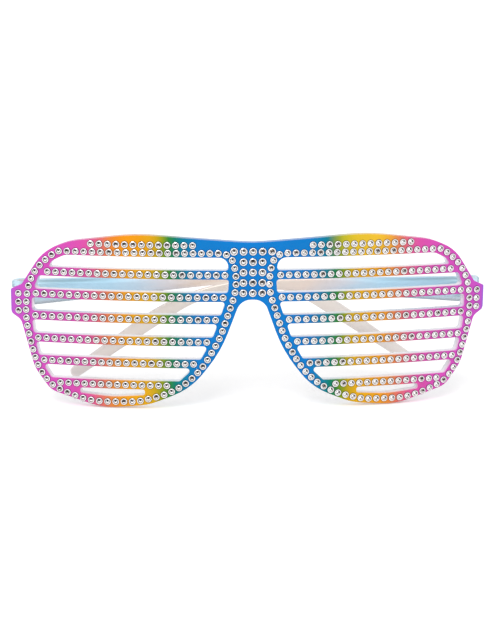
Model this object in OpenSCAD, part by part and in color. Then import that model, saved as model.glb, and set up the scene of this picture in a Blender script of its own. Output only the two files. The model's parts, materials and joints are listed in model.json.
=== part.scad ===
// Shutter-style party glasses: a slatted, wrapped front set with rows of
// stones, and two flat arms with ear hooks that fold across behind it.
// +X points to the wearer's left, +Y back from the front face, +Z up.
// The origin is the middle of the arch that rests on the nose.

/* [Front] */
// Overall width, end tab to end tab
front_w = 148; // [142:1:156]
// Thickness of the moulded front
front_t = 3; // [2.4:0.1:4]
// Radius of the front face, seen from above
wrap_r = 248; // [200:1:400]
// Height of the brow above the nose arch, at its highest
brow_top = 19.6; // [18.6:0.1:21]
// Height of the brow bar's lower edge above the nose arch
brow_bottom = 13.1; // [12.4:0.1:13.6]
// Width of the gap between the two lens openings
bridge_w = 15; // [14:0.1:17]
// Half the width of the flat stretch at the top of the nose arch
arch_w = 3.6; // [3.2:0.1:4.4]
// Radius of the nose arch
arch_r = 4.5; // [3:0.1:5]
// Height of the end tabs
tab_h = 7.6; // [6.5:0.1:9]
// Distance of the end tabs' middle below the nose arch
tab_drop = 2.1; // [1.6:0.1:2.6]

/* [Slats] */
// Height of one slat
slat_h = 2.8; // [2.4:0.1:3.2]
// Open height between two slats
slat_gap = 4.2; // [3.6:0.1:4.6]
// Open height between the brow bar and the top slat
top_gap = 4; // [3.6:0.1:4.4]
// Radius in the corners of the gaps
gap_r = 0.9; // [0.4:0.1:1.2]
// Length of the short slot under the lowest slat
slot_w = 20; // [12:0.5:24]
// Height of that slot
slot_h = 2.3; // [1.8:0.1:2.6]
// Distance of the middle of that slot in from the end of the front
slot_in = 31; // [29:0.5:33]

/* [Nose pads] */
// Length of a pad along the nose edge
pad_l = 13; // [8:0.5:16]
// How far a pad stands out behind the front
pad_d = 4.5; // [3:0.1:6]
// Thickness of a pad
pad_t = 1.8; // [1.2:0.1:2.4]
// How far a pad is set in from the nose edge
pad_in = 0.4; // [0.3:0.1:0.8]

/* [Stones] */
// Diameter of the small stones
stone_d = 2.1; // [1.7:0.05:2.3]
// Diameter of the larger stones on the bridge
bridge_stone_d = 2.4; // [2:0.05:2.5]
// Height of a stone, as a share of its diameter
stone_rise = 0.38; // [0.25:0.01:0.5]
// Flat on top of a stone, as a share of its diameter
stone_table = 0.55; // [0.4:0.01:0.7]
// Pitch of the stones in the short upper row on the brow
brow_pitch = 2.57; // [2.4:0.01:2.7]
// Number of stones in that row on each side
brow_n = 13; // [8:1:14]
// Distance of that row's last stone in from the end of the front
brow_row_in = 24.8; // [24:0.1:28]
// Height of that row above the brow bar's lower edge
brow_row_rise = 3.75; // [3.7:0.01:4]
// Number of stones in the loop round each lens
loop_n = 74; // [50:1:76]
// Distance of the loop's first stone along its line from the nose edge
loop_start = 3.7; // [0:0.1:5]
// Distance of a slat row's end stones from the ends of the slat
row_end = 1.2; // [1.1:0.05:2]
// Distance of the outer bridge stones in from the lens openings
bridge_row_in = 4.6; // [4.5:0.05:5]
// Height of the top row of bridge stones above the brow bar's lower edge
bridge_row_rise = 1.9; // [1.6:0.1:2.2]
// Pitch of the bridge rows, down
bridge_row_pitch = 3.22; // [2.8:0.02:3.3]
// Pitch of the three stones on an end tab
tab_pitch = 2.7; // [2.5:0.05:2.8]
// Distance of those stones from the end of the tab
tab_stone_in = 2.4; // [2.2:0.1:2.5]

/* [Arms] */
// Length of an arm from the hinge axis to the tip of the hook
arm_l = 127.5; // [118:0.5:136]
// Height of an arm at the hinge
arm_h = 8.4; // [7.6:0.1:9.4]
// Height of an arm where its straight edges would meet the hook's
neck_h = 3.2; // [2.8:0.1:4.2]
// Distance from the hinge axis to the start of the hook
hook_x = 82; // [76:0.5:88]
// How far the tip of the hook lies below the middle of the hinge
hook_drop = 28.2; // [27:0.2:30]
// Width of the hook near its tip
tip_w = 3.5; // [3:0.1:4.5]
// Thickness of an arm at the hinge
arm_t = 2.2; // [1.8:0.1:2.4]
// Thickness of an arm at the tip
tip_t = 1.6; // [1.4:0.1:1.8]
// Angle at which the arm behind lies over the folded arm in front
lead_angle = 7.5; // [7.5:0.1:9.5]

/* [Hinges] */
// Distance of a hinge axis in from the end of the front
hinge_in = 3.4; // [3.2:0.1:4.2]
// Height of a hinge's middle above the middle of the end tab
hinge_rise = 0.9; // [0.5:0.1:1.3]
// Diameter of a hinge pin
pin_d = 1.6; // [1.2:0.1:2]
// Diameter of a pin's head
head_d = 2.6; // [2.4:0.1:3]
// Thickness of a pin's head
head_h = 0.6; // [0.4:0.1:0.8]
// Diameter of the knuckles
knuckle_d = 5.6; // [5:0.1:6]
// Height of the lug's knuckle, between the two ears of the arm
lug_h = 3.6; // [3:0.1:4.2]
// Radial clearance of a pin in the arm's ears
pin_clear = 0.05; // [0.03:0.01:0.09]
// Radial clearance of a pin in the lug that holds it
pin_seat = 0.02; // [0.01:0.01:0.03]
// Clearance above and below the lug's knuckle
ear_gap = 0.15; // [0.1:0.05:0.3]
// Free space left between an arm's heel and the front when it is open
heel_clear = 0.3; // [0.2:0.05:0.6]

/* [Hidden] */
$fn = 48;

front_colour = "deepskyblue";
arm_colour = "lavender";
stone_colour = "whitesmoke";
pin_colour = "silver";

// Number of stones in each slat's row, from the top slat down
slat_stones = [22, 23, 22, 21, 19, 14];
// Number of stones in each row on the bridge, from the top row down
bridge_rows = [5, 3, 3, 3, 3];
// Extra distance at the outer end of the top row and both ends of the lowest row
row_end_extra = 0.31 * stone_d;
// Largest distance of a chord from the arc that it stands for
arc_sag = 0.03;
// Furthest that the open arm turns past square, which the heel has to clear
over_open = 10;
// Length of a heel past the hinge axis
heel_l = 3.4;
// Depth of material left where a pad or lug roots in the front
root = 1;
// Radius of a heel's corners
heel_r = 0.8;
// How far a pin's lower end lies inside the arm
pin_in = 0.3;
// Width of the block that carries a lug's knuckle
block_w = 0.86 * knuckle_d;

half_w = front_w / 2;
axis_x = half_w - hinge_in;
wrap_y = wrap_r - front_t / 2;
slat_pitch = slat_h + slat_gap;

// Height of slat number k's middle; fractions lie between the slats
function row_z(k) = brow_bottom - top_gap - slat_h / 2 - k * slat_pitch;
// Distance back from the origin of a cylinder of radius r about the wrap's axis
function wrap_at(r, x) = wrap_y - sqrt(r * r - x * x);

tab_z = -tab_drop;
hinge_z = tab_z + hinge_rise;
back_at_tab = wrap_at(wrap_r - front_t, half_w);
heel_reach = heel_l * cos(over_open) + arm_t / 2 * sin(over_open);
axis_y = back_at_tab + heel_reach + heel_clear;

function unit(v) = v / norm(v);

// Arc that rounds corner p between a and b to radius r
function corner_arc(a, p, b, r) =
    let (
        u = unit(a - p),
        w = unit(b - p),
        half = acos(u * w) / 2,
        c = p + unit(u + w) * r / sin(half),
        from = p + u * r / tan(half) - c,
        to = p + w * r / tan(half) - c,
        start = atan2(from.y, from.x),
        turn = atan2(cross(from, to), from * to),
        n = ceil(abs(turn) / (2 * acos(1 - arc_sag / r)))
    )
    [for (i = [0:n]) c + r * [cos(start + turn * i / n), sin(start + turn * i / n)]];

// Closed outline through corners given as [x, z, radius]
function rounded(corners) =
    let (n = len(corners))
    [for (i = [0:n - 1])
        let (
            a = corners[(i + n - 1) % n],
            p = corners[i],
            b = corners[(i + 1) % n]
        )
        each corner_arc([a.x, a.y], [p.x, p.y], [b.x, b.y], p.z)];

// The same corners on the other side of the middle, in reverse order
function mirrored(corners) =
    [for (i = [len(corners) - 1:-1:0]) [-corners[i].x, corners[i].y, corners[i].z]];

// Least and greatest x at which a closed outline crosses height z
function span_at(points, z) =
    let (
        n = len(points),
        xs = [for (i = [0:n - 1])
            let (a = points[i], b = points[(i + 1) % n])
            if ((a.y - z) * (b.y - z) <= 0 && a.y != b.y)
                a.x + (b.x - a.x) * (z - a.y) / (b.y - a.y)]
    )
    [min(xs), max(xs)];

// Running length along a closed outline, one entry per point and one to close it
function lengths(points, i = 0, sum = 0) =
    i == len(points)
        ? [sum]
        : concat([sum], lengths(points, i + 1, sum + norm(points[(i + 1) % len(points)] - points[i])));

// n places at equal distances along a closed outline, the first at length start
function spaced(points, n, start) =
    let (
        run = lengths(points),
        total = run[len(points)],
        m = len(points)
    )
    [for (k = [0:n - 1])
        let (
            s = (start + total * k / n) % total,
            i = max([for (j = [0:m - 1]) if (run[j] <= s) j]),
            t = (s - run[i]) / (run[i + 1] - run[i])
        )
        points[i] + t * (points[(i + 1) % m] - points[i])];

// Corner beside a lens: t is the share of the way from the nose edge to the end
// of the front, k its height counted in slats, r its radius in slat pitches
function lens(t, k, r) = [bridge_w / 2 + t * (half_w - bridge_w / 2), row_z(k), r * slat_pitch];
// Corner on the brow bar, whose height s is a share of the bar's own
function brow(t, s, r) = [lens(t, 0, r).x, brow_bottom + s * (brow_top - brow_bottom), r * slat_pitch];
// Corner by an end tab, with x from its end, z from its middle and r in tab heights
function tab(x, z, r) = [half_w - x * tab_h, tab_z + z * tab_h, r * tab_h];

// Corner of the front between the nose edge and the rim
nose_low = lens(0.032, 3.43, 5.71);

// Corners of the front's outline on one side, from the middle of the brow
// round the end tab, under the lens and up to the nose arch
outline_half = [
    brow(-0.083, 0.708, 7.14),
    brow(0.426, 1.062, 9.43),
    brow(0.729, 0.646, 2.7),
    brow(0.847, 0.138, 2),
    tab(0.434, 0.697, 0.2),
    tab(0, 0.5, 0.08),
    tab(0, -0.5, 0.22),
    tab(0.395, -0.763, 0.39),
    lens(0.895, 4.4, 1.71),
    lens(0.82, 5.38, 0.86),
    lens(0.579, 6.09, 3.14),
    lens(0.364, 5.9, 2.86),
    lens(0.17, 5.12, 3.14),
    nose_low,
    [arch_w, 0, arch_r]
];
front_outline = rounded(concat(outline_half, mirrored(outline_half)));

// Corners of the clear opening that the slats cross on one side
opening = rounded([
    lens(-0.014, 0.51, 3),
    brow(0.012, 0.077, 0.43),
    brow(0.771, 0.077, 0.96),
    lens(0.904, 0.42, 2.43),
    lens(0.904, 2.38, 5),
    lens(0.874, 3.98, 2.51),
    lens(0.774, 5.42, 1.14),
    lens(0.543, 5.56, 2.86),
    lens(0.344, 5.47, 1.71),
    lens(0.164, 4.56, 4),
    lens(0.068, 2.8, 4.43)
]);

// Line of the stones that run round one lens, from the corner by the brow
loop_line = rounded([
    brow(-0.013, 0.215, 0.6),
    brow(0.782, 0.185, 0.47),
    lens(0.91, 0.05, 2.4),
    lens(0.937, 2.1, 4.8),
    lens(0.881, 4.3, 2.7),
    lens(0.82, 5.14, 1.45),
    lens(0.647, 5.82, 4.14),
    lens(0.414, 5.75, 2.29),
    lens(0.173, 5.1, 3.71),
    lens(0.038, 2.88, 4.71),
    lens(-0.047, 0.39, 2.7)
]);

// Corners of the gap above slat k, with its ends on the opening; the top one is
// cut short at its outer end by the sloping brow
function gap_corners(k) =
    let (
        low = row_z(k) + slat_h / 2,
        high = k == 0 ? brow_bottom : low + slat_gap,
        a = span_at(opening, low),
        b = span_at(opening, high)
    )
    k == 0
        ? [[a[0], low, gap_r], [a[1] - 0.23 * top_gap, low, gap_r / 2],
           [a[1] - 0.53 * top_gap, low + top_gap / 2, 0.75 * top_gap],
           [a[1] - 1.5 * top_gap, high, 1.25 * top_gap], [a[0], high, 0.72 * top_gap]]
        : [[a[0], low, gap_r], [a[1], low, gap_r], [b[1], high, gap_r], [b[0], high, gap_r]];

// Corner of the short slot under the lowest slat: x from its middle in slot
// lengths, z below its top in slot heights
function slot(x, z, r) =
    [half_w - slot_in + x * slot_w, row_z(5) - slat_h / 2 - z * slot_h, r * slot_h];
slot_corners = [
    slot(-0.5, 0.78, 0.3),
    slot(0, 1.13, 13),
    slot(0.5, 0.74, 0.3),
    slot(0.5, 0, 0.3),
    slot(-0.5, 0, 0.3)
];

// An outline in the X-Z plane, made into a block that runs along Y
module along_y(from, to) {
    translate([0, to, 0]) rotate([90, 0, 0]) linear_extrude(height = to - from) children();
}

// Sheet between the front and the back radius of the wrap
module wrap_sheet() {
    tall = brow_top - row_z(7);
    translate([0, wrap_y, row_z(7)]) difference() {
        cylinder(r = wrap_r, h = tall + 5, $fn = 180);
        translate([0, 0, -1]) cylinder(r = wrap_r - front_t, h = tall + 7, $fn = 180);
    }
}

module front_sheet() {
    intersection() {
        wrap_sheet();
        along_y(-front_t, back_at_tab + 2) difference() {
            polygon(front_outline);
            for (side = [-1, 1]) scale([side, 1]) {
                for (k = [0:5]) polygon(rounded(gap_corners(k)));
                polygon(rounded(slot_corners));
            }
        }
    }
}

// Tongue behind the nose edge on the +X side, moulded with the front
module nose_pad() {
    lean = atan2(nose_low.x - arch_w, -nose_low.y);
    depth = pad_d + front_t / 2;
    translate([(arch_w + nose_low.x) / 2, 0, nose_low.y / 2])
        rotate([0, -lean, 0]) translate([pad_in, 0, 0])
            rotate([90, 0, 90]) linear_extrude(height = pad_t)
                polygon(rounded([
                    [0, -pad_l / 2, pad_t / 4],
                    [depth, -0.3 * pad_l, pad_d / 2],
                    [depth, 0.3 * pad_l, pad_d / 2],
                    [0, pad_l / 2, pad_t / 4]
                ]));
}

// Knuckle on the back of the +X end tab, with the block that carries it
module hinge_lug() {
    block_y = wrap_at(wrap_r - front_t, axis_x - knuckle_d / 2) - root;
    difference() {
        union() {
            translate([axis_x, axis_y, hinge_z - lug_h / 2]) cylinder(d = knuckle_d, h = lug_h);
            translate([axis_x - block_w / 2, block_y, hinge_z - lug_h / 2])
                cube([block_w, axis_y - block_y, lug_h]);
        }
        translate([axis_x, axis_y, hinge_z - lug_h]) cylinder(r = pin_d / 2 + pin_seat, h = 2 * lug_h);
    }
}

module front_frame() {
    color(front_colour) union() {
        front_sheet();
        for (side = [0, 1]) mirror([side, 0, 0]) {
            nose_pad();
            hinge_lug();
        }
    }
}

arm_top = arm_h / 2;
arm_low = -arm_h / 2;
neck_top = 0.43 * arm_h;
neck_low = neck_top - neck_h;
// Slope of the hook, from the corner under the neck to the tip
hook_lean = atan2(neck_low + hook_drop, arm_l - tip_w / 2 - hook_x);

// One arm from its hinge axis out along +X, with its outer face to +Y
module temple_shape() {
    tip_low = [arm_l - tip_w * sin(hook_lean), -hook_drop];
    tip_high = tip_low + tip_w * [sin(hook_lean), cos(hook_lean)];
    side_view = rounded([
        [-heel_l, arm_top, heel_r],
        [1.075 * hook_x, neck_top, 0.85 * hook_x],
        [tip_high.x, tip_high.y, 0.45 * tip_w],
        [tip_low.x, tip_low.y, 0.45 * tip_w],
        [hook_x, neck_low, 0.56 * hook_x],
        [0.76 * hook_x, neck_low, 0.7 * hook_x],
        [0.15 * hook_x, 0.74 * arm_low, 0.7 * hook_x],
        [-heel_l, arm_low, heel_r]
    ]);
    difference() {
        intersection() {
            along_y(-knuckle_d, knuckle_d) polygon(side_view);
            translate([0, 0, -hook_drop - 1]) linear_extrude(height = arm_top + hook_drop + 2)
                temple_plan();
        }
        translate([0, 0, -lug_h / 2 - ear_gap])
            cylinder(r = knuckle_d / 2 + ear_gap, h = lug_h + 2 * ear_gap);
        translate([-2 * heel_l, -knuckle_d, -lug_h / 2 - ear_gap])
            cube([2 * heel_l, 2 * knuckle_d, lug_h + 2 * ear_gap]);
        translate([0, 0, arm_low - 1]) cylinder(r = pin_d / 2 + pin_clear, h = arm_h + 2);
        translate([0, 0, arm_top - head_h - pin_clear])
            cylinder(r = head_d / 2 + 2 * pin_clear, h = head_h + 1);
    }
}

// Arm seen from above: a straight outer face and an inner face that tapers to the tip
module temple_plan() {
    outer = arm_t / 2;
    circle(d = knuckle_d);
    polygon([
        [-heel_l, 0],
        [0, -outer],
        [0.2 * hook_x, -outer],
        [arm_l + tip_w, outer - tip_t],
        [arm_l + tip_w, outer],
        [-heel_l, outer]
    ]);
}

module left_temple() {
    color(arm_colour) translate([axis_x, axis_y, hinge_z]) mirror([1, 0, 0]) temple_shape();
}

module right_temple() {
    color(arm_colour) translate([-axis_x, axis_y, hinge_z]) rotate([0, 0, lead_angle]) temple_shape();
}

// Headed pin, put in from above and held by the lug
module hinge_pin(side) {
    color(pin_colour) translate([side * axis_x, axis_y, hinge_z]) {
        translate([0, 0, arm_low + pin_in]) cylinder(d = pin_d, h = arm_h - head_h / 2 - pin_in);
        translate([0, 0, arm_top - head_h]) cylinder(d = head_d, h = head_h);
    }
}

module left_hinge_pin() {
    hinge_pin(1);
}

module right_hinge_pin() {
    hinge_pin(-1);
}

// One third of a six-sided stone's flanks
module stone_flanks(d, turn) {
    across = d * cos(30) / 2;
    flat = across * stone_table;
    rotate([0, 0, turn]) rotate([90, 0, 0]) linear_extrude(height = 2 * d, center = true)
        polygon([[-across, 0], [across, 0], [flat, d * stone_rise], [-flat, d * stone_rise]]);
}

module stone(d) {
    intersection() {
        stone_flanks(d, 0);
        stone_flanks(d, 60);
        stone_flanks(d, 120);
    }
}

// A stone of diameter d seated on the wrapped front at x and z
module seated_stone(x, z, d) {
    translate([0, wrap_y, z]) rotate([0, 0, asin(x / wrap_r)])
        translate([0, -wrap_r, 0]) rotate([90, 0, 0]) stone(d);
}

module rim_stones(side) {
    color(stone_colour) for (p = spaced(loop_line, loop_n, loop_start)) seated_stone(side * p.x, p.y, stone_d);
}

module brow_stones(side) {
    color(stone_colour) for (i = [0:brow_n - 1])
        seated_stone(side * (half_w - brow_row_in - i * brow_pitch), brow_bottom + brow_row_rise, stone_d);
}

// Row on slat k, spaced evenly along the curve between the slat's ends
module slat_stones(k, side) {
    z = row_z(k);
    n = slat_stones[k];
    ends = span_at(opening, z);
    first = asin((ends[0] + row_end + (k == 5 ? row_end_extra : 0)) / wrap_r);
    last = asin((ends[1] - row_end - (k == 0 || k == 5 ? row_end_extra : 0)) / wrap_r);
    color(stone_colour) for (i = [0:n - 1])
        seated_stone(side * wrap_r * sin(first + (last - first) * i / (n - 1)), z, stone_d);
}

module bridge_stones() {
    pitch = bridge_w / 2 - bridge_row_in;
    color(stone_colour) for (r = [0:len(bridge_rows) - 1], i = [0:bridge_rows[r] - 1])
        seated_stone((i - (bridge_rows[r] - 1) / 2) * pitch,
            brow_bottom + bridge_row_rise - r * bridge_row_pitch, bridge_stone_d);
}

module endpiece_stones(side) {
    color(stone_colour) for (i = [-1:1])
        seated_stone(side * (half_w - tab_stone_in), tab_z - tab_h / 40 + i * tab_pitch, stone_d);
}

front_frame();
left_temple();
right_temple();
left_hinge_pin();
right_hinge_pin();
rim_stones(1);  // rim_stones_left
rim_stones(-1);  // rim_stones_right
brow_stones(1);  // brow_stones_left
brow_stones(-1);  // brow_stones_right
slat_stones(0, 1);  // slat_1_stones_left
slat_stones(1, 1);  // slat_2_stones_left
slat_stones(2, 1);  // slat_3_stones_left
slat_stones(3, 1);  // slat_4_stones_left
slat_stones(4, 1);  // slat_5_stones_left
slat_stones(5, 1);  // slat_6_stones_left
slat_stones(0, -1);  // slat_1_stones_right
slat_stones(1, -1);  // slat_2_stones_right
slat_stones(2, -1);  // slat_3_stones_right
slat_stones(3, -1);  // slat_4_stones_right
slat_stones(4, -1);  // slat_5_stones_right
slat_stones(5, -1);  // slat_6_stones_right
bridge_stones();
endpiece_stones(1);  // endpiece_stones_left
endpiece_stones(-1);  // endpiece_stones_right
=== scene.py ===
import bpy
import bmesh
import json
import math
import random
from mathutils import Matrix, Vector
from mathutils.kdtree import KDTree


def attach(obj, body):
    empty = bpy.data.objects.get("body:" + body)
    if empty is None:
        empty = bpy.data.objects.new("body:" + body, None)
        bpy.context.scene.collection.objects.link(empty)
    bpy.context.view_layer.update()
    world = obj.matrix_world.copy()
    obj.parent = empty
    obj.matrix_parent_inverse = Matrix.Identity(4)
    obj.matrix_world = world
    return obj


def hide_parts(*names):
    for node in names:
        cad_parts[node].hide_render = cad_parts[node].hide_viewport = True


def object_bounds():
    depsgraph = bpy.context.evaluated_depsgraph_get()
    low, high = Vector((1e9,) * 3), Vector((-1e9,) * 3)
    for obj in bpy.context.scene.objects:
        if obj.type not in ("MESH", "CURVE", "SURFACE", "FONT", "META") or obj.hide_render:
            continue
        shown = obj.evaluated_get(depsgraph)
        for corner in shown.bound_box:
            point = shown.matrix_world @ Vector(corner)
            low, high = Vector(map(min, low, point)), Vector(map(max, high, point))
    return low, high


# Shutter-style party glasses, seen as in the photograph: from the front, a
# little above, with both arms folded across behind the slats.
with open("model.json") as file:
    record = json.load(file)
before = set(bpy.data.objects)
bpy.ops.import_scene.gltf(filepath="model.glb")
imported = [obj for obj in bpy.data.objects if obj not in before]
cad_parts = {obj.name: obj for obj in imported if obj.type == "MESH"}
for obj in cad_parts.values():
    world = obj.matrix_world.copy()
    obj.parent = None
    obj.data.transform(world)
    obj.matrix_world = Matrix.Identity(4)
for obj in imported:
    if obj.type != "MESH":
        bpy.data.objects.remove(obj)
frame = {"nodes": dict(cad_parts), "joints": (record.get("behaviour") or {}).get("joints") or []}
cad_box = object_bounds()
nodes = frame["nodes"]
scene = bpy.context.scene


# Camera
# The photograph's own view, found by fitting the stones' places to the part:
# half a metre away, 13 degrees above, a few degrees to the wearer's right.
camera_data = bpy.data.cameras.new("camera")
camera_data.sensor_fit = "VERTICAL"
camera_data.sensor_height = 36
camera_data.lens = 94.63
camera_data.clip_start = 0.05
camera_data.clip_end = 20
camera = bpy.data.objects.new("camera", camera_data)
scene.collection.objects.link(camera)
view_right = Vector((0.997, -0.0765, 0.0084)).normalized()
view_back = -Vector((0.0764, 0.9697, -0.232)).normalized()
view_up = view_back.cross(view_right).normalized()
camera.matrix_world = Matrix((
    (view_right.x, view_up.x, view_back.x, -0.0412),
    (view_right.y, view_up.y, view_back.y, -0.5015),
    (view_right.z, view_up.z, view_back.z, 0.1133),
    (0, 0, 0, 1)))
scene.camera = camera


# Front
# The slatted front is one pearl white moulding, 3 mm thick and wrapped round
# the wearer's face. Its edges are rounded, and its face is printed from blue
# at the bridge to pink at the ends, with a little ink blown onto its walls.
WRAP_R = 0.248
WRAP_Y = 0.2465
FRONT_T = 0.003
EDGE_ROUND = 0.00045
STRIP = 0.0021
HALF_WIDTH = 0.074
SLAT_IN, SLAT_TOP, SLAT_INNER = 0.0056, 0.0105, 0.0108


def material(name):
    made = bpy.data.materials.new(name)
    made.use_nodes = True
    tree = made.node_tree
    tree.nodes.clear()
    out = tree.nodes.new("ShaderNodeOutputMaterial")
    shader = tree.nodes.new("ShaderNodeBsdfPrincipled")
    tree.links.new(shader.outputs["BSDF"], out.inputs["Surface"])
    return made, tree, shader


def node(tree, kind, **settings):
    made = tree.nodes.new(kind)
    for key, value in settings.items():
        if key in made.inputs.keys():
            made.inputs[key].default_value = value
        else:
            setattr(made, key, value)
    return made


def calculate(tree, operation, first, second, third=None):
    made = tree.nodes.new("ShaderNodeMath")
    made.operation = operation
    for socket, value in zip(made.inputs, (first, second, third)):
        if isinstance(value, (int, float)):
            socket.default_value = value
        elif value is not None:
            tree.links.new(value, socket)
    return made.outputs[0]


def colour_steps(tree, factor, stops):
    made = tree.nodes.new("ShaderNodeValToRGB")
    keys = made.color_ramp.elements
    for i, (place, colour) in enumerate(stops):
        key = keys[i] if i < 2 else keys.new(place)
        key.position = place
        key.color = (*colour, 1)
    tree.links.new(factor, made.inputs[0])
    return made.outputs[0]


def mixed(tree, blend, factor, first, second):
    made = node(tree, "ShaderNodeMix", data_type="RGBA", blend_type=blend)
    if isinstance(factor, (int, float)):
        made.inputs["Factor"].default_value = factor
    else:
        tree.links.new(factor, made.inputs["Factor"])
    tree.links.new(first, made.inputs["A"])
    tree.links.new(second, made.inputs["B"])
    return made.outputs["Result"]


def cloud(tree, scale, detail=3.0, stretch=(1, 1, 1)):
    place = tree.nodes.new("ShaderNodeTexCoord")
    turned = node(tree, "ShaderNodeMapping")
    turned.inputs["Scale"].default_value = stretch
    noise = node(tree, "ShaderNodeTexNoise", Scale=scale, Detail=detail)
    tree.links.new(place.outputs["Object"], turned.inputs["Vector"])
    tree.links.new(turned.outputs["Vector"], noise.inputs["Vector"])
    return noise.outputs["Fac"]


def grained(tree, shader, height, strength, distance):
    bump = node(tree, "ShaderNodeBump", Strength=strength, Distance=distance)
    tree.links.new(height, bump.inputs["Height"])
    tree.links.new(bump.outputs["Normal"], shader.inputs["Normal"])


def linear(r, g, b):
    return tuple(((c / 255 + 0.055) / 1.055) ** 2.4 if c > 10 else c / 255 / 12.92
                 for c in (r, g, b))


def print_colour(tree):
    place = tree.nodes.new("ShaderNodeTexCoord")
    parts = tree.nodes.new("ShaderNodeSeparateXYZ")
    tree.links.new(place.outputs["Object"], parts.inputs[0])
    side = calculate(tree, "ABSOLUTE", calculate(tree, "SUBTRACT", parts.outputs["X"], 0.0004), 0)
    waver = calculate(tree, "MULTIPLY_ADD", cloud(tree, 110), 0.0022, side)
    centred = calculate(tree, "MULTIPLY_ADD", waver, 1 / HALF_WIDTH, -0.0011 / HALF_WIDTH)
    ink = colour_steps(tree, centred, [
        (mm / 74, linear(*tone)) for mm, tone in (
            (0, (0, 127, 213)), (17, (0, 125, 205)), (20, (0, 127, 180)), (22, (0, 127, 152)),
            (24, (0, 128, 104)), (26, (48, 136, 50)), (28, (142, 160, 18)), (30, (206, 170, 12)),
            (32, (230, 176, 20)), (36, (240, 172, 22)), (40, (242, 160, 28)), (43, (236, 144, 62)),
            (45, (232, 126, 90)), (47, (230, 110, 116)), (49, (226, 96, 146)), (52, (226, 84, 172)),
            (56, (222, 82, 184)), (64, (218, 82, 192)), (71, (208, 84, 200)), (74, (200, 88, 206)))])
    across = calculate(tree, "MULTIPLY_ADD", parts.outputs["X"], 0.5 / HALF_WIDTH, 0.5)
    brow = node(tree, "ShaderNodeMapRange", **{"From Min": 0.009, "From Max": 0.017})
    tree.links.new(parts.outputs["Z"], brow.inputs["Value"])
    brow_share = colour_steps(tree, across, [
        (0.5 + mm / 148, (share,) * 3) for mm, share in (
            (-46, 0), (-42, 0.6), (-35, 0.65), (-29, 0.1), (-26, 0),
            (23, 0), (28, 0.6), (39, 0.7), (45, 0.1), (47, 0))])
    brow_ink = colour_steps(tree, across, [
        (0.2, linear(246, 128, 10)), (0.24, linear(252, 150, 0)), (0.3, linear(236, 156, 6)),
        (0.7, linear(226, 204, 50)), (0.76, linear(246, 206, 60))])
    brow_mix = calculate(tree, "MULTIPLY", brow.outputs["Result"], brow_share)
    violet_share = colour_steps(tree, across, [
        (at, (share,) * 3) for at, share in (
            (0, 0.45), (0.004, 0.08), (0.009, 0), (0.99, 0), (0.996, 0.2), (0.9988, 0.9))])
    violet = colour_steps(tree, cloud(tree, 60), [
        (0.3, linear(124, 100, 222)), (0.7, linear(146, 110, 226))])
    with_brow = mixed(tree, "MIX", brow_mix, ink, brow_ink)
    return mixed(tree, "MIX", violet_share, with_brow, violet), parts


def depth_in_wall(tree, parts):
    inward = calculate(tree, "SUBTRACT", WRAP_Y, parts.outputs["Y"])
    flat = calculate(tree, "MULTIPLY", inward, inward)
    square = calculate(tree, "MULTIPLY_ADD", parts.outputs["X"], parts.outputs["X"], flat)
    return calculate(tree, "SUBTRACT", WRAP_R, calculate(tree, "SQRT", square, 0))


def print_material():
    made, tree, shader = material("rainbow_print")
    ink, parts = print_colour(tree)
    dull = colour_steps(tree, cloud(tree, 260, 4.0), [(0.3, (0.94, 0.94, 0.94)), (0.7, (1, 1, 1))])
    # Past the rounded edge and onto the outer wall the ink is mixed with pearl: partly thinner ink,
    # partly a painted highlight along the edge.
    thin_ink_and_highlight = node(tree, "ShaderNodeMapRange", **{"From Min": 0.0002, "From Max": 0.0012, "To Max": 0.3})
    tree.links.new(depth_in_wall(tree, parts), thin_ink_and_highlight.inputs["Value"])
    plastic = colour_steps(tree, cloud(tree, 90, 4.0), [
        (0.3, linear(229, 235, 243)), (0.7, linear(245, 240, 245))])
    ink_with_painted_highlight = mixed(tree, "MIX", thin_ink_and_highlight.outputs["Result"], ink, plastic)
    # Painted shade: the print on the slats is darkened a little towards dark olive, standing for the
    # stones' shadows on them.
    slat = node(tree, "ShaderNodeAttribute", attribute_type="GEOMETRY", attribute_name="slat")
    shade = colour_steps(tree, cloud(tree, 300), [(0.3, (0.07, 0.10, 0.05)), (0.7, (0.10, 0.13, 0.07))])
    with_slat_painted_shade = mixed(tree, "MIX", calculate(tree, "MULTIPLY", slat.outputs["Fac"], 0.12), ink_with_painted_highlight, shade)
    tree.links.new(mixed(tree, "MULTIPLY", 1.0, with_slat_painted_shade, dull), shader.inputs["Base Color"])
    shader.inputs["Roughness"].default_value = 0.3
    shader.inputs["Specular IOR Level"].default_value = 0.12
    shader.inputs["Coat Weight"].default_value = 0.05
    shader.inputs["Coat Roughness"].default_value = 0.08
    grained(tree, shader, cloud(tree, 420, 2.0), 0.06, 0.0002)
    return made


def pearl_material():
    made, tree, shader = material("pearl_moulding")
    ink, parts = print_colour(tree)
    blown = node(tree, "ShaderNodeMapRange", **{"From Min": 0.0003, "From Max": 0.0018,
                                                "To Min": 0.5, "To Max": 0.0})
    tree.links.new(depth_in_wall(tree, parts), blown.inputs["Value"])
    pearl_tint = colour_steps(tree, cloud(tree, 90, 4.0), [
        (0.3, linear(229, 235, 243)), (0.5, linear(241, 243, 246)), (0.7, linear(245, 239, 245))])
    inked = mixed(tree, "MIX", blown.outputs["Result"], pearl_tint, ink)
    tree.links.new(inked, shader.inputs["Base Color"])
    shader.inputs["Metallic"].default_value = 0.25
    shader.inputs["Roughness"].default_value = 0.3
    shader.inputs["Specular IOR Level"].default_value = 0.4
    shader.inputs["Coat Weight"].default_value = 0.2
    grained(tree, shader, cloud(tree, 300, 2.0), 0.05, 0.0002)
    return made


rainbow = print_material()
pearl = pearl_material()


def finish(name, mesh_data, body, slot, *stands_for):
    piece = bpy.data.objects.new(name, mesh_data)
    scene.collection.objects.link(piece)
    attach(piece, body)
    if stands_for:
        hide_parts(*stands_for)
    return piece


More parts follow.
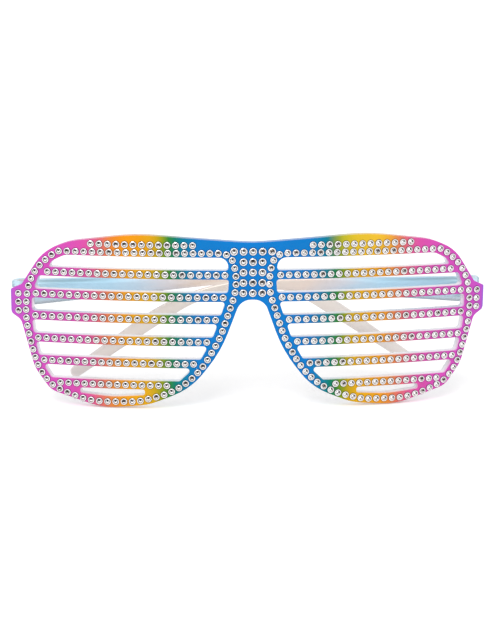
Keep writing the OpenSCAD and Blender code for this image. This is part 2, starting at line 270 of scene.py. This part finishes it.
def mesh_from(bm, name, materials, crease):
    for f in bm.faces:
        f.smooth = True
    data = bpy.data.meshes.new(name)
    bm.to_mesh(data)
    bm.free()
    for made in materials:
        data.materials.append(made)
    data.set_sharp_from_angle(angle=math.radians(crease))
    return data


def merged_copy(node_name):
    bm = bmesh.new()
    bm.from_mesh(nodes[node_name].data)
    bmesh.ops.remove_doubles(bm, verts=bm.verts, dist=2e-6)
    return bm


def round_off(bm, edges, offset, segments=3):
    bmesh.ops.bevel(bm, geom=edges, offset=offset, segments=segments, profile=0.5,
                    affect="EDGES", material=-1, clamp_overlap=True)


# The face is unrolled from the solid part, made a flat plate, given rounded
# edges, cut into strips so that it can bend, and wrapped again. The attribute
# marks the slats, whose print is darkened with painted shade for the stones' shadows.
bm = merged_copy("front_frame")
bm.verts.layers.float.new("slat")
off_face = [f for f in bm.faces
            if any(abs(math.hypot(v.co.x, v.co.y - WRAP_Y) - WRAP_R) > 3e-5 for v in f.verts)]
bmesh.ops.delete(bm, geom=off_face, context="FACES")
for v in bm.verts:
    v.co = Vector((WRAP_R * math.asin(v.co.x / WRAP_R), 0, v.co.z))
bmesh.ops.remove_doubles(bm, verts=bm.verts, dist=2e-5)
bmesh.ops.dissolve_limit(bm, angle_limit=0.01, verts=bm.verts, edges=bm.edges)
bmesh.ops.recalc_face_normals(bm, faces=bm.faces)
pulled = bmesh.ops.extrude_face_region(bm, geom=bm.faces[:])
bmesh.ops.translate(bm, verts=[g for g in pulled["geom"] if isinstance(g, bmesh.types.BMVert)],
                    vec=(0, FRONT_T, 0))
bmesh.ops.recalc_face_normals(bm, faces=bm.faces)
round_off(bm, [e for e in bm.edges if len(e.link_faces) == 2 and e.calc_face_angle() > 1.2
               and abs(e.verts[0].co.y - e.verts[1].co.y) < 1e-6], EDGE_ROUND)
walls = {f for f in bm.faces if -0.95 < f.normal.y < 0.6}
outer_wall = {min(walls, key=lambda f: f.calc_center_median().x)}
reached = list(outer_wall)
while reached:
    beside = {g for e in reached.pop().edges for g in e.link_faces if g in walls} - outer_wall
    outer_wall |= beside
    reached.extend(beside)
for f in bm.faces:
    f.material_index = 0 if f.normal.y < -0.3 or f in outer_wall else 1
x = STRIP - HALF_WIDTH
while x < HALF_WIDTH:
    bmesh.ops.bisect_plane(bm, geom=bm.verts[:] + bm.edges[:] + bm.faces[:], plane_co=(x, 0, 0),
                           plane_no=(1, 0, 0), dist=1e-7)
    x += STRIP
bmesh.ops.triangulate(bm, faces=[f for f in bm.faces if len(f.verts) > 4])
slat = bm.verts.layers.float["slat"]
edge = KDTree(len(bm.verts))
for v in bm.verts:
    if any(f in outer_wall for f in v.link_faces):
        edge.insert((v.co.x, 0, v.co.z), v.index)
edge.balance()
for v in bm.verts:
    from_edge = edge.find((v.co.x, 0, v.co.z))[2]
    on_slat = from_edge > SLAT_IN and v.co.z < SLAT_TOP and abs(v.co.x) > SLAT_INNER
    v[slat] = 1.0 if on_slat else 0.0
for v in bm.verts:
    turn = v.co.x / WRAP_R
    r = WRAP_R - v.co.y
    v.co = Vector((r * math.sin(turn), WRAP_Y - r * math.cos(turn), v.co.z))
front = finish("slatted_front", mesh_from(bm, "slatted_front", (rainbow, pearl), 40),
               "front", "front_plastic", "front_frame")


# Nose pads
# Two short rounded tongues moulded behind the nose edges. The wearer's nose
# rests between them; they are of the same pearl plastic as the front.
PAD_TOP = Vector((0.0036, 0, 0))
PAD_LOW = Vector((0.00963, 0, -0.01631))
PAD_LENGTH, PAD_DEPTH, PAD_THICK = 0.013, 0.006, 0.0018


def nose_pad(name, side):
    lean = math.atan2(PAD_LOW.x - PAD_TOP.x, PAD_TOP.z - PAD_LOW.z)
    bm = bmesh.new()
    bmesh.ops.create_cube(bm, size=1)
    bmesh.ops.scale(bm, verts=bm.verts, vec=(PAD_THICK, PAD_DEPTH, PAD_LENGTH))
    bmesh.ops.translate(bm, verts=bm.verts, vec=(PAD_THICK / 2, PAD_DEPTH / 2, 0))
    behind = [v for v in bm.verts if v.co.y > PAD_DEPTH / 2]
    bmesh.ops.scale(bm, verts=behind, vec=(1, 1, 0.6))
    round_off(bm, [e for e in bm.edges if all(v in behind for v in e.verts)
                   and abs(e.verts[0].co.x - e.verts[1].co.x) > PAD_THICK / 2], 0.0024, 6)
    round_off(bm, [e for e in bm.edges if e.calc_face_angle(0) > 0.9], 0.0004)
    place = (Matrix.Translation((PAD_TOP + PAD_LOW) / 2) @ Matrix.Rotation(-lean, 4, "Y")
             @ Matrix.Translation((0.0004, 0, 0)))
    bmesh.ops.transform(bm, matrix=place, verts=bm.verts)
    bmesh.ops.scale(bm, verts=bm.verts, vec=(side, 1, 1))
    bmesh.ops.recalc_face_normals(bm, faces=bm.faces)
    finish(name, mesh_from(bm, name, (pearl,), 50), "front", "front_plastic")


nose_pad("left_nose_pad", 1)
nose_pad("right_nose_pad", -1)


# Hinge lugs
# A block behind each end tab carries a bored knuckle, which sits between the
# two ears of the arm and holds the pin. It is moulded with the front.
HINGE = Vector(next(j["pos_m"] for j in frame["joints"] if j["name"] == "left_temple_hinge"))
KNUCKLE_R = 0.0028
BORE_R = 0.00082
LUG_H = 0.0036
BLOCK = (0.004816, 0.0053, LUG_H)
LUG_ROUND = 0.00025


def hinge_lug(name, side):
    bm = bmesh.new()
    ring = [bm.verts.new((r, 0, z)) for r, z in (
        (BORE_R, -LUG_H / 2), (KNUCKLE_R, -LUG_H / 2), (KNUCKLE_R, LUG_H / 2), (BORE_R, LUG_H / 2))]
    loop = [bm.edges.new((ring[i], ring[(i + 1) % 4])) for i in range(4)]
    bmesh.ops.spin(bm, geom=ring + loop, cent=(0, 0, 0), axis=(0, 0, 1), angle=math.tau,
                   steps=40, use_merge=True)
    bmesh.ops.remove_doubles(bm, verts=bm.verts, dist=1e-7)
    round_off(bm, [e for e in bm.edges if e.calc_face_angle(0) > 1.2
                   and e.verts[0].co.to_2d().length > KNUCKLE_R * 0.9], LUG_ROUND, 2)
    block = bmesh.ops.create_cube(bm, size=1)["verts"]
    bmesh.ops.scale(bm, verts=block, vec=BLOCK)
    bmesh.ops.translate(bm, verts=block, vec=(0, -0.0012 - BLOCK[1] / 2, 0))
    round_off(bm, list({e for v in block for e in v.link_edges}), LUG_ROUND, 2)
    bmesh.ops.translate(bm, verts=bm.verts, vec=(side * HINGE.x, HINGE.y, HINGE.z))
    bmesh.ops.recalc_face_normals(bm, faces=bm.faces)
    finish(name, mesh_from(bm, name, (pearl,), 40), "front", "front_plastic")


hinge_lug("left_hinge_lug", 1)
hinge_lug("right_hinge_lug", -1)


# Stones
# Small faceted studs, a clear stone over foil in a bright plated rim, glued
# in rows onto the printed face, their facets painted dark and light as painted reflection. Each sits
# where its solid sits, in a thin bead of glue coloured as the print darkened with painted shadow round
# it.
def rim_material():
    made, tree, shader = material("plated_rim")
    tone = colour_steps(tree, cloud(tree, 900, 2.0), [
        (0.35, (0.84, 0.84, 0.86)), (0.65, (0.98, 0.98, 0.98))])
    tree.links.new(tone, shader.inputs["Base Color"])
    shader.inputs["Metallic"].default_value = 0.85
    shader.inputs["Roughness"].default_value = 0.2
    return made


def facet_material():
    made, tree, shader = material("cut_stone")
    cut = node(tree, "ShaderNodeAttribute", attribute_type="GEOMETRY", attribute_name="cut")
    # The facet tones are painted reflection, from near black to white, in place of the surroundings the
    # facets would mirror.
    tone = colour_steps(tree, cut.outputs["Fac"], [
        (0.0, (0.010, 0.009, 0.010)),
        (0.15, (0.04, 0.034, 0.034)),
        (0.3, (0.17, 0.14, 0.125)),
        (0.45, (0.42, 0.37, 0.34)),
        (0.6, (0.72, 0.70, 0.70)),
        (0.8, (0.95, 0.95, 0.95)),
        (1.0, (1.0, 1.0, 1.0)),
    ])
    tree.links.new(tone, shader.inputs["Base Color"])
    shader.inputs["Metallic"].default_value = 0.6
    shader.inputs["Roughness"].default_value = 0.1
    shader.inputs["Coat Weight"].default_value = 0.3
    return made


def glue_shadow_material():
    made, tree, shader = material("glue_painted_shadow")
    ink, parts = print_colour(tree)
    # Painted shadow: the print under the bead is darkened to between a fifth and a half, for the
    # stones' shadows round them.
    painted_shadow_tone = colour_steps(tree, cloud(tree, 700, 2.0), [
        (0.3, (0.22, 0.22, 0.24)), (0.7, (0.48, 0.48, 0.5))])
    tree.links.new(mixed(tree, "MULTIPLY", 1.0, ink, painted_shadow_tone), shader.inputs["Base Color"])
    shader.inputs["Roughness"].default_value = 0.2
    shader.inputs["Specular IOR Level"].default_value = 0.12
    return made


stone_finishes = (rim_material(), facet_material(), glue_shadow_material())
STONE_SIDES = 10

# The profile of one stone, in shares of its width, from the face outwards.
BEAD_R, BEAD_H = 0.6, 0.05
RIM_R, RIM_H = 0.5, 0.13
RIM_IN, RIM_UP = 0.12, 0.05
GROOVE_IN, GROOVE_DOWN = 0.1, 0.04
CROWN_IN, CROWN_UP = 0.09, 0.1
GROOVE, CROWN, TABLE = 1, 2, 3


def stone_shape():
    bm = bmesh.new()
    part = bm.faces.layers.int.new("part")
    bmesh.ops.create_circle(bm, cap_ends=True, segments=STONE_SIDES, radius=BEAD_R)
    pulled = bmesh.ops.extrude_face_region(bm, geom=bm.faces[:])
    bead_top = [g for g in pulled["geom"] if isinstance(g, bmesh.types.BMVert)]
    bmesh.ops.scale(bm, verts=bead_top, vec=(RIM_R / BEAD_R, RIM_R / BEAD_R, 1))
    bmesh.ops.translate(bm, verts=bead_top, vec=(0, 0, BEAD_H))
    bmesh.ops.recalc_face_normals(bm, faces=bm.faces)
    top = [f for f in bm.faces if f.normal.z > 0.9 and f.calc_center_median().z > BEAD_H / 2]
    bead = [f for f in bm.faces if abs(f.normal.z) < 0.9]
    bmesh.ops.inset_region(bm, faces=top, thickness=0, depth=RIM_H - BEAD_H)
    bmesh.ops.inset_region(bm, faces=top, thickness=RIM_IN, depth=RIM_UP)
    plated = set(bm.faces)
    bmesh.ops.inset_region(bm, faces=top, thickness=GROOVE_IN, depth=-GROOVE_DOWN)
    groove = [f for f in bm.faces if f not in plated]
    bmesh.ops.inset_region(bm, faces=top, thickness=CROWN_IN, depth=CROWN_UP)
    crown = [f for f in bm.faces if f not in plated and f not in groove and f not in top]
    bmesh.ops.rotate(bm, verts=top[0].verts, cent=(0, 0, 0),
                     matrix=Matrix.Rotation(math.pi / STONE_SIDES, 3, "Z"))
    crown = bmesh.ops.triangulate(bm, faces=crown)["faces"]
    table = bmesh.ops.poke(bm, faces=top)["faces"]
    for faces, number in ((groove, GROOVE), (crown, CROWN), (table, TABLE)):
        for f in faces:
            f.material_index = 1
            f[part] = number
    for f in bead:
        f.material_index = 2
    data = bpy.data.meshes.new("stone")
    bm.to_mesh(data)
    bm.free()
    return data


def facet_painted_reflection(part, turn, right, dark, chance):
    """How bright a facet is, as painted reflection: an eye of dark facets on the left, a slash on the
    right.
    """
    up, along = math.sin(turn), math.cos(turn - math.radians(50))
    if part == GROOVE and right:
        tone = 0.3 if along > 0.3 or up > 0.6 else 0.5
    elif part == GROOVE:
        tone = 0.2 if up > 0.4 else 0.27 if up > -0.4 else 0.42
    elif part == CROWN and right:
        tone = 0.12 if along > 0.86 else 0.97
    elif right:
        tone = 0.0 if part == TABLE and abs(along) > 0.8 else 0.97
    elif part == CROWN:
        tone = 0.05 if up > 0.8 else 0.5 if up < -0.85 else 0.97
    else:
        tone = 0.0 if up > 0.3 else 1.0
    if dark and part == TABLE and up > -0.5:
        tone = 0.03
    elif dark and part in (CROWN, TABLE) and up > -0.2:
        tone *= 0.4
    return min(1, max(0, tone + chance.uniform(-0.1, 0.1)))


def stone_places(node_name):
    """The middle and width of each stone of a node, which are its separate islands."""
    solid = merged_copy(node_name)
    met, places = set(), []
    for first in solid.verts:
        if first in met:
            continue
        island = [first]
        met.add(first)
        for v in island:
            for w in (e.other_vert(v) for e in v.link_edges):
                if w not in met:
                    met.add(w)
                    island.append(w)
        middle = sum((v.co for v in island), Vector()) / len(island)
        places.append((middle, max((v.co - w.co).length for v in island for w in island)))
    solid.free()
    return sorted(places, key=lambda p: (round(p[0].x, 5), round(p[0].z, 5)))


stone = stone_shape()
DARK_SHARES = {"bridge": 0.4, "slat": 0.08}
SLASH_FROM = 0.004
for number, name in enumerate(sorted(n for n in nodes if "stones" in n)):
    chance = random.Random(number)
    dark_share = DARK_SHARES.get(name.split("_")[0], 0.28)
    bm = bmesh.new()
    cut = bm.faces.layers.float.new("cut")
    for middle, width in stone_places(name):
        out = Vector((middle.x, middle.y - WRAP_Y, 0)).normalized()
        seat = Vector((0, WRAP_Y, middle.z)) + out * WRAP_R
        across = out.cross(Vector((0, 0, 1))).normalized()
        turn = Matrix((
            (-across.x, 0, out.x, seat.x),
            (-across.y, 0, out.y, seat.y),
            (-across.z, 1, out.z, seat.z),
            (0, 0, 0, 1)))
        verts_before = len(bm.verts)
        faces_before = len(bm.faces)
        bm.from_mesh(stone)
        bm.verts.ensure_lookup_table()
        bm.faces.ensure_lookup_table()
        part = bm.faces.layers.int["part"]
        spin = chance.uniform(-0.3, 0.3)
        dark = chance.random() < dark_share
        for f in bm.faces[faces_before:]:
            c = f.calc_center_median()
            turned = math.atan2(c.y, c.x) + 0.6 * spin
            f[cut] = facet_painted_reflection(f[part], turned, middle.x > SLASH_FROM, dark, chance)
        bmesh.ops.transform(bm, verts=bm.verts[verts_before:],
                            matrix=turn @ Matrix.Scale(width * 0.98, 4) @ Matrix.Rotation(spin, 4, "Z"))
    bmesh.ops.recalc_face_normals(bm, faces=bm.faces)
    data = bpy.data.meshes.new("studs_" + name)
    bm.to_mesh(data)
    bm.free()
    for made in stone_finishes:
        data.materials.append(made)
    finish("studs_" + name, data, "front", "stones", name)


# Arms
# Each arm is a thin flat moulding in iridescent pearl plastic, pale blue at
# the hinge, greyed along its lower edge there by painted shade, and turning to pink and beige
# at the hook. Its edges are rounded, except on the two hinge ears.
ARM_LENGTH = 0.1275
EAR_REACH = 0.0044
ARM_ROUND = 0.0005


def arm_material(name, side):
    made, tree, shader = material(name)
    place = tree.nodes.new("ShaderNodeTexCoord")
    parts = tree.nodes.new("ShaderNodeSeparateXYZ")
    tree.links.new(place.outputs["Object"], parts.inputs[0])
    along = calculate(tree, "MULTIPLY_ADD", parts.outputs["X"], -side / ARM_LENGTH,
                      HINGE.x / ARM_LENGTH)
    sheen = cloud(tree, 1.0, 3.0, (18, 40, 160))
    shifted = calculate(tree, "MULTIPLY_ADD", sheen, 0.16, along)
    colours = colour_steps(tree, calculate(tree, "SUBTRACT", shifted, 0.08), [
        (0.0, (0.64, 0.86, 0.96)),
        (0.1, (0.53, 0.82, 0.99)),
        (0.22, (0.53, 0.80, 0.99)),
        (0.28, (0.62, 0.79, 0.94)),
        (0.34, (0.78, 0.77, 0.83)),
        (0.42, (0.93, 0.78, 0.70)),
        (0.6, (0.95, 0.84, 0.75)),
        (0.8, (0.93, 0.84, 0.78)),
        (1.0, (0.95, 0.88, 0.84)),
    ])
    # Painted shade: near the hinge the lower edge is greyed, standing for the shade under the arm.
    low = node(tree, "ShaderNodeMapRange", **{"From Min": -0.0024, "From Max": -0.0042,
                                              "To Max": 0.7})
    tree.links.new(parts.outputs["Z"], low.inputs["Value"])
    heel = node(tree, "ShaderNodeMapRange", **{"From Min": 0.4, "From Max": 0.25})
    tree.links.new(along, heel.inputs["Value"])
    underside_shade_mask = calculate(tree, "MULTIPLY", low.outputs["Result"], heel.outputs["Result"])
    underside_shade_grey = colour_steps(tree, cloud(tree, 400), [
        (0.3, (0.82, 0.87, 0.91)), (0.7, (0.92, 0.94, 0.96))])
    streak = colour_steps(tree, sheen, [(0.35, (0.93, 0.94, 0.95)), (0.6, (1, 1, 1))])
    toned = mixed(tree, "MIX", underside_shade_mask, colours, underside_shade_grey)
    tree.links.new(mixed(tree, "MULTIPLY", 1.0, toned, streak), shader.inputs["Base Color"])
    shader.inputs["Metallic"].default_value = 0.4
    shader.inputs["Roughness"].default_value = 0.34
    shader.inputs["Specular IOR Level"].default_value = 0.4
    shader.inputs["Coat Weight"].default_value = 0.3
    shader.inputs["Thin Film Thickness"].default_value = 420
    grained(tree, shader, cloud(tree, 260, 2.0), 0.05, 0.0002)
    return made


def arm(node_name, side, body):
    bm = merged_copy(node_name)
    bmesh.ops.dissolve_limit(bm, angle_limit=0.01, verts=bm.verts, edges=bm.edges)
    hinge = Vector((side * HINGE.x, HINGE.y))
    round_off(bm, [e for e in bm.edges if e.calc_face_angle(0) > 0.9
                   and all((v.co.to_2d() - hinge).length > EAR_REACH for v in e.verts)], ARM_ROUND)
    bmesh.ops.triangulate(bm, faces=[f for f in bm.faces if len(f.verts) > 4])
    name = "pearl_" + node_name
    data = mesh_from(bm, name, (arm_material(name, side),), 40)
    finish(name, data, body, "arm_plastic", node_name)


arm("left_temple", 1, "left_arm")
arm("right_temple", -1, "right_arm")


# Hinge pins
# Plain headed steel pins, pushed in from above through the ears and the lug.
def pin_material():
    made, tree, shader = material("pin_steel")
    tone = colour_steps(tree, cloud(tree, 1500, 2.0), [
        (0.3, (0.42, 0.42, 0.44)), (0.7, (0.66, 0.66, 0.68))])
    tree.links.new(tone, shader.inputs["Base Color"])
    shader.inputs["Metallic"].default_value = 1.0
    shader.inputs["Roughness"].default_value = 0.32
    grained(tree, shader, cloud(tree, 1.0, 2.0, (900, 900, 5000)), 0.15, 0.0001)
    return made


steel = pin_material()
for name in ("left_hinge_pin", "right_hinge_pin"):
    nodes[name].data.materials.clear()
    nodes[name].data.materials.append(steel)


# Floor and light
# A plain white floor that runs out to a white background, with soft light
# from the sky all round and one broad lamp high on the left.
SKY_LIGHT = 0.7


def seen_directly(tree):
    path = tree.nodes.new("ShaderNodeLightPath")
    straight = calculate(tree, "ADD", path.outputs["Is Camera Ray"], path.outputs["Is Glossy Ray"])
    return calculate(tree, "ADD", straight, path.outputs["Is Transmission Ray"])


def paper_material():
    made, tree, shader = material("white_paper")
    grain = colour_steps(tree, cloud(tree, 3.0, 2.0), [
        (0.3, (0.89, 0.89, 0.89)), (0.7, (0.9, 0.9, 0.9))])
    tree.links.new(grain, shader.inputs["Base Color"])
    shader.inputs["Roughness"].default_value = 0.9
    shader.inputs["Specular IOR Level"].default_value = 0.0
    shader.inputs["Emission Color"].default_value = (1, 1, 1, 1)
    glow = calculate(tree, "MULTIPLY", seen_directly(tree), 0.3)
    tree.links.new(glow, shader.inputs["Emission Strength"])
    return made


bm = bmesh.new()
bmesh.ops.create_grid(bm, x_segments=2, y_segments=2, size=6)
paper = bpy.data.meshes.new("floor")
bm.to_mesh(paper)
bm.free()
paper.transform(Matrix.Translation((0, 0, cad_box[0][2] - 0.0003)))
paper.materials.append(paper_material())
floor = bpy.data.objects.new("floor", paper)
scene.collection.objects.link(floor)

world = bpy.data.worlds.new("studio")
world.use_nodes = True
sky = world.node_tree.nodes["Background"]
sky.inputs["Color"].default_value = (1, 1, 1, 1)
lit = calculate(world.node_tree, "MULTIPLY_ADD", seen_directly(world.node_tree),
                1 - SKY_LIGHT, SKY_LIGHT)
world.node_tree.links.new(lit, sky.inputs["Strength"])
scene.world = world

key = bpy.data.lights.new("key", "SUN")
key.energy = 1.25
key.angle = math.radians(35)
key_lamp = bpy.data.objects.new("key", key)
key_lamp.rotation_euler = Vector((0.2, 0.62, -0.78)).to_track_quat("-Z", "Y").to_euler()
scene.collection.objects.link(key_lamp)
scene.view_settings.view_transform = "Standard"
